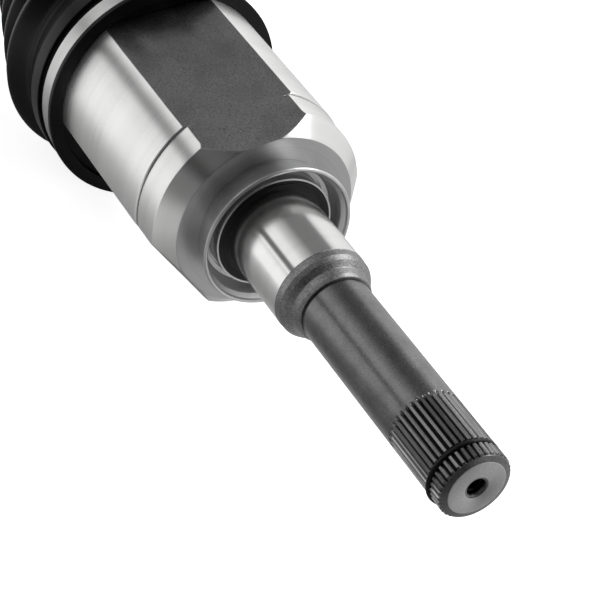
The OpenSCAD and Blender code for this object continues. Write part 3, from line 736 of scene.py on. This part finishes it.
# %% Circlip
def spring_steel():
    material, tree, place = new_material("phosphated_spring_steel")
    fine = grain(tree, place, 2500.0)
    colour = tint(tree, fine, 0.4, 0.7, 1.0, "#080808", "#121212")
    rough = remap(tree, fine, 0.3, 0.7, 0.30, 0.45)
    finish(tree, colour, rough, (fine, 0.2, 0.00004), {"Specular IOR Level": 0.25})
    return material


spring_black = spring_steel()
wire_r, clip_r, clip_drop, drop_angle = 1.0, 13.45, 0.35, math.radians(-61.0)
wire = [(wire_r * math.cos(2 * math.pi * k / 16), wire_r * math.sin(2 * math.pi * k / 16)) for k in range(16)]
clip_path = [(clip_drop * math.cos(drop_angle) + clip_r * math.cos(math.radians(a)),
              clip_drop * math.sin(drop_angle) + clip_r * math.sin(math.radians(a)))
             for a in np.linspace(157.0, 503.0, 180)]
clip_rings = swept_rings(clip_path, wire, x_tip + 8.3, False)
circlip = make_piece("stub_circlip_wire", *rings_to_mesh(clip_rings, False), spring_black, 50.0)
place_piece(circlip, "inner_joint_housing", "spring_steel", "stub_circlip")

# %% [markdown]
# ## Seal, dust cover and clamp bands
#
# The dust cover is thin zinc-plated strip pressed to a cup with a rolled rim. Inside it a rubber
# lip in a thin steel case runs on the ground land. The boots' bands are stainless strip, drawn
# tight by an ear that pliers pinch in.


# %% Strip and rubber
def strip_metal(name, light, dark, rough_low, rough_high):
    """Rolled strip, with the rolling's streaks running round the piece."""
    material, tree, place = new_material(name)
    streak = grain(tree, place, (1500.0, 25.0, 25.0), 3.0)
    colour = tint(tree, grain(tree, place, 90.0), 0.35, 0.7, 1.0, light, dark)
    metal(tree, colour, remap(tree, streak, 0.3, 0.7, rough_low, rough_high), (streak, 0.12, 0.00005), 0.4)
    return material


def moulded_rubber(name, base, lighter, rough_low, rough_high, fine_scale, shine):
    """Black elastomer. fine_scale is its texture in grains per metre."""
    material, tree, place = new_material(name)
    fine = grain(tree, place, fine_scale)
    colour = tint(tree, grain(tree, place, 70.0), 0.4, 0.7, 1.0, base, lighter)
    rough = remap(tree, fine, 0.3, 0.7, rough_low, rough_high)
    finish(tree, colour, rough, (fine, 0.15, 0.00005), {"Specular IOR Level": shine})
    return material


strip = strip_metal("zinc_plated_strip", "#dcdcdc", "#cacacb", 0.34, 0.42)
stainless = strip_metal("stainless_strip", "#d2d2d2", "#c4c4c3", 0.30, 0.40)
rubber = moulded_rubber("nitrile_rubber", "#141414", "#1c1c1c", 0.40, 0.5, 1500.0, 0.3)
boot_skin = moulded_rubber("boot_thermoplastic_elastomer", "#080808", "#0d0d0d", 0.30, 0.38, 1100.0, 0.22)

# %% Dust cover, seal case and lip
cover = turned("dust_cover_pressing", [
    (x_nose, cover_flange_r), (x_nose - 1.2, cover_flange_r, 0.3), (x_nose - 1.2, 26.6, 0.8),
    (x_nose - 4.8, 27.1, 1.5), (x_nose - 8.4, 27.9, 1.5), (x_nose - 10.2, 29.2, 0.5),
    (x_nose - 11.3, 29.6, 0.5), (x_nose - 11.4, 30.4, 0.5), (x_nose - 10.7, 30.9, 0.4),
    (x_nose - 10.0, 30.6, 0.4), (x_nose - 8.8, 29.0, 1.0), (x_nose - 4.8, 28.2, 1.5),
    (x_nose - 1.0, 27.7, 0.5), (x_nose - 0.02, 27.6, 0.1)], strip, sides=224)
place_piece(cover, "inner_joint_housing", "bright_strip", "dust_cover")
case = turned("seal_case_ring", [
    (x_nose, 23.2), (x_nose - 7.8, 23.2, 0.2), (x_nose - 7.8, 24.0, 0.3), (x_nose - 1.0, 24.0),
    (x_nose, 24.0)], strip, sides=192)
place_piece(case, "inner_joint_housing", "bright_strip", "seal_case")
lip_seat_r = relief_r + 0.05
lip = turned("seal_lip_rubber", [
    (x_nose - 0.4, 19.7), (x_nose - 6.4, lip_seat_r, 0.2), (x_nose - 7.4, lip_seat_r, 0.2),
    (x_nose - 6.6, 20.7, 0.6), (x_nose - 7.6, 22.6, 0.5), (x_nose - 7.4, 23.2, 0.2),
    (x_nose - 0.4, 23.2)], rubber, sides=160)
place_piece(lip, "inner_joint_housing", "seal_rubber", "seal_lip")


# %% Clamp bands
def clamp_band(name, body, node, x0, width, inner_r):
    """A band with its pinched ear, and the tail of the strip that lies on it beside the ear."""
    thick, half_ear = 0.8, 6.5 / inner_r
    turn_to = math.radians(ear_turn)

    def strip_section(t):
        return [(0.15, -t / 2), (width - 0.15, -t / 2), (width, -t / 2 + 0.15), (width, t / 2 - 0.15),
                (width - 0.15, t / 2), (0.15, t / 2), (0.0, t / 2 - 0.15), (0.0, -t / 2 + 0.15)]

    def spot(angle, radius):
        return (radius * math.cos(turn_to + angle), radius * math.sin(turn_to + angle))

    middle = inner_r + 0.05 + thick / 2
    path = [spot(a, middle) for a in np.linspace(half_ear, 2 * math.pi - half_ear, 200)]
    # The ear in (across, up) points, from one foot over the top to the other
    half = [(-5.6, 0.0), (-4.6, 0.1), (-3.9, 0.6), (-3.3, 1.4), (-3.2, 2.1), (-3.7, 2.8), (-3.6, 3.5),
            (-2.8, 3.8)]
    ear = half + [(0.0, 3.6)] + [(-across, up) for across, up in reversed(half)]
    path += [spot(across / middle, middle + up) for across, up in ear]
    band = rings_to_mesh(swept_rings(path, strip_section(thick), x0, True), True)
    tail_path = [spot(a, middle + thick + 0.02) for a in np.linspace(half_ear + 0.02, half_ear + 0.65, 40)]
    tail = rings_to_mesh(swept_rings(tail_path, strip_section(0.7), x0, False), False)
    piece = make_piece(name, *join_shells([band, tail]), stainless, 30.0)
    place_piece(piece, body, "bright_strip", node)


clamp_band("inner_boot_band", "inner_joint_housing", "inner_boot_large_clamp", x_clamp + 0.1,
           large_band, clamp_seat_r)
clamp_band("inner_boot_small_band", "bar", "inner_boot_small_clamp", x_small + 3.8, small_band, small_r)
clamp_band("outer_boot_band", "wheel_end", "outer_boot_large_clamp", x_out_big - 3.2 - large_band,
           large_band, bell_boot_r)
clamp_band("outer_boot_small_band", "bar", "outer_boot_small_clamp", x_out_small - 3.8 - small_band,
           small_band, small_r)

# %% [markdown]
# ## The boots
#
# A boot is blow moulded in a soft thermoplastic. Its large end is a thick cuff with a groove for
# the clamp band. Its folds follow one rule: crests get smaller along the boot, with a valley
# between each pair. A Geometry Nodes tree makes them from named sizes. Each boot's folds are two
# pieces, and the two meet in a valley.


# %% A tree that makes bellows
def bellows_tree():
    tree, given = tree_with_inputs("bellows", [
        ("Start", "Float"), ("Pitch", "Float"), ("First fold", "Int"), ("Folds", "Int"),
        ("First crest", "Float"), ("Crest step", "Float"), ("Crest bend", "Float"), ("Depth", "Float"),
        ("Material", "Material")])
    rows = maths(tree, "ADD", times(tree, given["Folds"], 24), 1)
    grid = add(tree, "GeometryNodeMeshGrid", {"Size X": 1.0, "Size Y": 1.0, "Vertices X": rows,
                                              "Vertices Y": 193})
    place = add(tree, "ShaderNodeSeparateXYZ", {0: add(tree, "GeometryNodeInputPosition").outputs[0]}).outputs
    along = maths(tree, "ADD", place["X"], 0.5)
    fold = maths(tree, "ADD", times(tree, along, given["Folds"]), given["First fold"])
    angle = times(tree, place["Y"], 2 * math.pi)
    past_first = maths(tree, "SUBTRACT", fold, 0.5)
    slope = maths(tree, "ADD", given["Crest step"], times(tree, given["Crest bend"], past_first))
    crest = maths(tree, "ADD", given["First crest"], times(tree, slope, past_first))
    wave = maths(tree, "COSINE", times(tree, fold, 2 * math.pi))
    dip = times(tree, maths(tree, "ADD", wave, 1.0), 0.5)
    # The crest is a narrow flat band, so the first part of the dip is skipped
    dip = maths(tree, "MAXIMUM", maths(tree, "DIVIDE", maths(tree, "SUBTRACT", dip, 0.08), 0.92), 0.0)
    radius = maths(tree, "SUBTRACT", crest, times(tree, dip, given["Depth"]))
    x = maths(tree, "ADD", given["Start"], times(tree, fold, given["Pitch"]))
    tube = add(tree, "GeometryNodeSetPosition", {"Geometry": grid.outputs[0],
                                                 "Position": from_polar(tree, x, angle, radius)})
    joined = add(tree, "GeometryNodeMergeByDistance", {"Geometry": tube.outputs[0], "Distance": 1e-6})
    tree_output(tree, joined.outputs[0], given["Material"])
    return tree


bellows = bellows_tree()


def make_folds(name, node, start_fold, folds, sizes, thickness):
    """Folds with a real wall: the tree makes the outside, and Solidify gives the thickness."""
    piece = make_piece(name, [(0, 0, 0), (1, 0, 0), (0, 1, 0)], [(0, 1, 2)], boot_skin)
    grow(piece, bellows, {"Material": boot_skin, "First fold": start_fold, "Folds": folds, **sizes}, 60.0)
    radial = sum(p.normal.dot(Vector((0, p.center.y, p.center.z))) for p in piece.data.polygons)
    if radial < 0:
        piece.data.flip_normals()
    wall = piece.modifiers.new("wall", "SOLIDIFY")
    wall.thickness, wall.offset = thickness * MM, -1.0
    shown = piece.evaluated_get(bpy.context.evaluated_depsgraph_get())
    mesh = bpy.data.meshes.new_from_object(shown)
    piece.modifiers.clear()
    piece.data = mesh
    ends = [(sizes["Start"] + f * sizes["Pitch"], 0, 0) for f in (start_fold, start_fold + folds)]
    if ends[0][0] > ends[1][0]:
        ends.reverse()
    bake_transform(piece)
    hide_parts(node)


# %% Inner boot
inner_sizes = {"Start": x_folds * MM, "Pitch": 0.0175, "First crest": 0.0530, "Crest step": -0.00575,
               "Crest bend": 0.0, "Depth": 0.0090}
make_folds("inner_boot_folds_front", "inner_boot", 0, 1,
           inner_sizes, inner_wall)
make_folds("inner_boot_folds_rear", "inner_boot", 1, 4, inner_sizes, inner_wall)
cuff = turned("inner_boot_cuff", [
    (x_clamp, 45.7), (x_clamp, 44.5, 0.2), (x_lip, 44.5, 0.3), (x_lip, lip_r, 0.6), (x_clamp, lip_r, 0.4),
    (x_clamp, clamp_seat_r, 0.2), (x_shoulder, clamp_seat_r, 0.2), (x_shoulder, lip_r, 0.4),
    (x_neck, lip_r, 0.7), (x_neck + 1.6, 47.2, 1.0), (x_folds - 2.0, 46.6, 1.0), (x_folds, 46.8),
    (x_folds, 44.4), (x_neck + 1.9, 44.4, 0.4), (x_mouth + 1.2, 45.7, 0.2)], boot_skin, sides=224)
place_piece(cuff, "inner_joint_housing", "boot_plastic", "inner_boot")


def small_end(name, node, x_valley, valley_r, x_start, way, wall):
    """The boot's tight end on the bar, with the groove for its band. way is its direction in X."""
    groove = x_start + way * 3.6
    piece = turned(name, [
        (x_start + way * 15.0, 12.35, 0.2), (x_start + way * 3.0, 12.35, 0.8), (x_start, 13.6, 1.0),
        (x_valley, valley_r - wall), (x_valley, valley_r), (x_start - way * 2.0, small_r + 1.4, 1.5),
        (x_start + way * 1.0, small_r + 0.8, 0.8), (groove, small_r + 0.8, 0.25), (groove, small_r, 0.15),
        (groove + way * 6.8, small_r, 0.15), (groove + way * 6.8, small_r + 0.8, 0.25),
        (x_start + way * 15.0, small_r + 0.8, 0.5)], boot_skin, sides=128)
    place_piece(piece, "bar", "boot_plastic", node)


small_end("inner_boot_small_end", "inner_boot", x_small - 6.0, inner_valley_r, x_small, 1, inner_wall)

# %% Outer boot
# Its crests bulge and its wall is thin, which lets the bar swing 42 degrees inside it
outer_sizes = {"Start": x_out_folds * MM, "Pitch": -0.013, "First crest": 0.0478, "Crest step": -0.00173,
               "Crest bend": -0.00088, "Depth": 0.0065}
make_folds("outer_boot_folds_wheel", "outer_boot", 0, 2, outer_sizes,
           outer_wall)
make_folds("outer_boot_folds_bar", "outer_boot", 2, 3, outer_sizes, outer_wall)
outer_cuff = turned("outer_boot_cuff", [
    (x_out_folds, 40.15), (x_out_folds, 41.95), (x_bell - 1.4, 42.4, 1.2), (x_bell - 0.4, 46.6, 1.0),
    (x_bell + 0.6, bell_boot_r + 1, 0.5), (x_out_big - 3.4 - large_band, bell_boot_r + 1, 0.3),
    (x_out_big - 3.4 - large_band, bell_boot_r, 0.15), (x_out_big - 3.0, bell_boot_r, 0.15),
    (x_out_big - 3.0, bell_boot_r + 1, 0.3), (x_out_big, bell_boot_r + 1, 0.4), (x_out_big, bell_r + 0.1),
    (x_bell - 0.7, bell_r + 0.1, 0.3), (x_bell - 0.9, 40.2, 0.6)], boot_skin, sides=224)
place_piece(outer_cuff, "wheel_end", "boot_plastic", "outer_boot")
small_end("outer_boot_small_end", "outer_boot", x_out_small + 3.0, outer_valley_r, x_out_small, -1,
          outer_wall)

# %% [markdown]
# ## The bar
#
# The bar is painted satin black, apart from its splined ends, which sit in the two joints. The
# paint pools a little, which shows as a soft orange peel.


# %% Bar
def bar_paint():
    material, tree, place = new_material("satin_black_paint")
    peel = grain(tree, place, 380.0, 2.0)
    dust = grain(tree, place, 2400.0, 2.0)
    colour = tint(tree, dust, 0.6, 0.75, 1.0, "#101011", "#1b1b1c")
    finish(tree, colour, remap(tree, dust, 0.3, 0.7, 0.30, 0.40), (peel, 0.25, 0.00012), {})
    return material


paint = bar_paint()

# %% [markdown]
# ## The wheel end
#
# The outer race is a forged bell, turned outside. Its stub carries the wheel hub's spline and the
# thread for the axle nut. A thread is one more rule: the depth of the cut depends on how far round
# and how far along a point is, so a Geometry Nodes tree makes it.


# %% A tree that cuts a thread
def thread_tree():
    tree, given = tree_with_inputs("screw_thread", [
        ("Pitch", "Float"), ("Depth", "Float"), ("Major radius", "Float"), ("Start", "Float"),
        ("End", "Float"), ("Material", "Material")])
    x, angle, radius = polar(tree)
    turns = maths(tree, "ADD", maths(tree, "DIVIDE", x, given["Pitch"]),
                  maths(tree, "DIVIDE", angle, 2 * math.pi))
    flank = times(tree, maths(tree, "FRACT", turns), 2.0)
    flank = maths(tree, "ABSOLUTE", maths(tree, "SUBTRACT", flank, 1.0))
    # The crest is a narrow flat, so the last part of the rise is cut off
    flank = remap(tree, flank, 0.0, 0.85, 1.0, 0.0)
    full_from = maths(tree, "ADD", given["Start"], given["Pitch"])
    full_to = maths(tree, "SUBTRACT", given["End"], given["Pitch"])
    outside = maths(tree, "GREATER_THAN", radius, maths(tree, "SUBTRACT", given["Major radius"], 0.00005))
    cut = times(tree, flank, given["Depth"], remap(tree, x, given["Start"], full_from, 0.0, 1.0),
                remap(tree, x, full_to, given["End"], 1.0, 0.0), outside)
    moved = add(tree, "GeometryNodeSetPosition", {"Geometry": given["Geometry"],
                "Position": from_polar(tree, x, angle, maths(tree, "SUBTRACT", radius, cut))})
    tree_output(tree, moved.outputs[0], given["Material"])
    return tree


# %% Outer race
x_hub, x_thread, x_end = x_ball + 42.0, x_ball + 82.0, x_ball + 106.0
cup_r, rim_angle = 32.55, math.radians(116.0)
cup = [(x_ball + cup_r * math.cos(a), cup_r * math.sin(a)) for a in np.linspace(0.0, rim_angle, 24)]
thread_rows = [(x, thread_r) for x in np.arange(x_thread + 2.2, x_end - 2.2, 0.25)]
outer_race = turned("outer_race_bell", [
    *cup, (x_bell, 37.9, 0.3), (x_bell, bell_r - 1.0, 0.3), (x_bell + 1.0, bell_r, 0.3),
    (x_ball + 14.0, bell_r, 1.5), (x_ball + 22.0, bell_r - 3.0, 4.0), (x_ball + 32.0, bell_r - 12.0, 4.0),
    (x_hub - 3.0, 26.6, 0.4), (x_hub - 2.4, 26.0, 0.3), (x_hub, 26.0, 0.3), (x_hub, 14.4, 0.2),
    (x_hub - 0.8, 14.4), (x_hub - 0.8, 12.5), (x_hub + 2.0, 12.5), (x_hub + 2.0, 13.1),
    (x_hub + 2.8, 13.8), (x_thread - 1.8, 13.8), (x_thread - 1.0, 13.1), (x_thread - 1.0, 10.9, 0.3),
    (x_thread + 2.0, 10.9, 0.3), (x_thread + 2.19, 11.98), *thread_rows, (x_end - 2.0, thread_r),
    (x_end, 10.2, 0.2), (x_end, 4.0, 0.2), (x_end - 3.0, 2.2), (x_end - 9.0, 2.2),
    (x_end - 10.3, 0.0)], steel_turned, sides=wheel_teeth * 8, sharp=26.0)
grow(outer_race, spline_grooves, {
    "Teeth": wheel_teeth, "Root radius": wheel_root_r * MM, "Start": (x_hub + 2.1) * MM,
    "Run-out start": (x_thread - 1.1) * MM, "Run-out end": (x_thread - 1.0) * MM,
    "Material": steel_turned}, 26.0)
grow(outer_race, thread_tree(), {
    "Pitch": 0.0015, "Depth": 0.00092, "Major radius": thread_r * MM, "Start": (x_thread + 1.5) * MM,
    "End": (x_end - 1.0) * MM, "Material": steel_turned}, 40.0)
place_piece(outer_race, "wheel_end", "turned_steel", "outer_race")


# %% [markdown]
# ## The working pieces inside
#
# The tripod and the ball joint keep their CAD shapes, which are true ones, and get the finish that
# each has: bearing steel is ground and lapped bright, and the spider and the inner race are forged
# and ground only where something runs or sits.

# %% Finishes of the inner pieces
def bearing_steel():
    material, tree, place = new_material("lapped_bearing_steel")
    fine = grain(tree, place, 3000.0)
    oil = grain(tree, place, 160.0)
    colour = tint(tree, oil, 0.45, 0.7, 1.0, "#dadadc", "#c9c6bd")
    metal(tree, colour, remap(tree, fine, 0.3, 0.7, 0.10, 0.18), (fine, 0.05, 0.00003))
    return material


def forged_and_ground():
    material, tree, place = new_material("case_hardened_forging")
    scale = grain(tree, place, 700.0, 4.0)
    colour = tint(tree, scale, 0.35, 0.65, 1.0, "#6f6f71", "#8a8988")
    metal(tree, colour, remap(tree, scale, 0.3, 0.7, 0.28, 0.44), (scale, 0.2, 0.00008))
    return material


bearing, ground_forging = bearing_steel(), forged_and_ground()
finishes = {"boot_adapter": boot_skin, "inner_boot": boot_skin, "outer_boot": boot_skin,
            "bar_shaft": paint, "spider": ground_forging, "inner_race": ground_forging,
            "spider_snap_rings": spring_black, "trunnion_snap_rings": spring_black,
            "inner_race_snap_ring": spring_black, "stub_circlip": spring_black,
            "inner_housing": steel_turned, "outer_race": steel_turned, "dust_cover": strip,
            "seal_case": strip, "seal_lip": rubber}
for name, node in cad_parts.items():
    node.data.materials.clear()
    node.data.materials.append(finishes.get(name, stainless if "clamp" in name else bearing))
